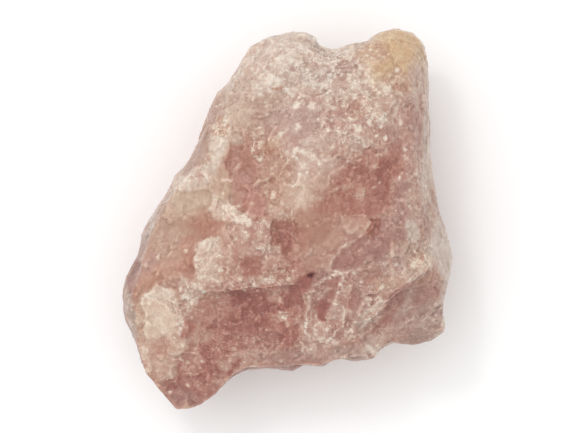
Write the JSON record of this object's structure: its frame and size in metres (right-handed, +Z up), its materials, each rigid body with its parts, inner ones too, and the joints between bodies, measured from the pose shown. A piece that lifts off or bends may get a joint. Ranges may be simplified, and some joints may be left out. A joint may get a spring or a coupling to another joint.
{
  "type": "rose quartz chunk",
  "caption": "Rough broken chunk of rose quartz, a blocky wedge with conchoidal breaks and ledges, resting on one flat fracture face.",
  "frame": {"origin": "on the ground under the middle of the chunk's bounding box", "axes": "+Z up from the flat face it rests on, +Y along its length towards the pale granular end, +X to the right when it is seen from above with +Y away"},
  "size_m": [0.088, 0.101, 0.0441],
  "materials": {
    "rose_quartz": "rough broken quartz, glassy on fresh breaks"
  },
  "bodies": {
    "root": {"rose_quartz": "rose_quartz"}
  },
  "joints": []
}
